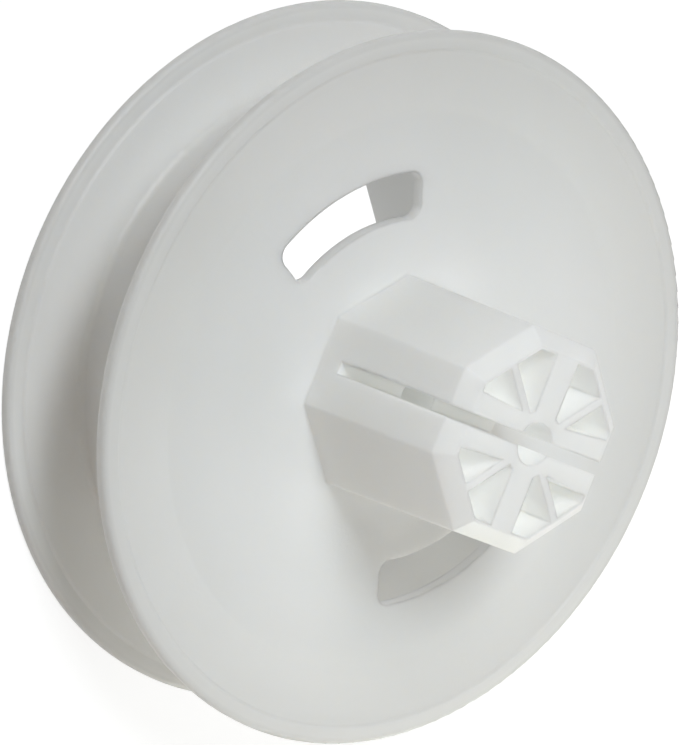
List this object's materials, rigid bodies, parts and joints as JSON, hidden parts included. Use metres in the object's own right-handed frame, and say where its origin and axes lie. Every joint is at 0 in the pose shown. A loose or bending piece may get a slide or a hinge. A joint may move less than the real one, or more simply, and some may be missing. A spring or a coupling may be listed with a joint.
{
  "type": "roller shutter belt pulley",
  "caption": "Flanged pulley that winds the lifting belt of a roller shutter, with an octagonal plug that drives the shutter tube.",
  "frame": {"origin": "centre of the rear rim, in the plane the pulley stands on", "axes": "+Z along the pulley's axis towards the plug's end; X lies in the plane of the plug's split"},
  "size_m": [0.13, 0.13, 0.0669],
  "materials": {
    "natural_plastic": "natural white translucent moulding, satin"
  },
  "bodies": {
    "root": {"belt_pulley": "natural_plastic"}
  },
  "joints": []
}
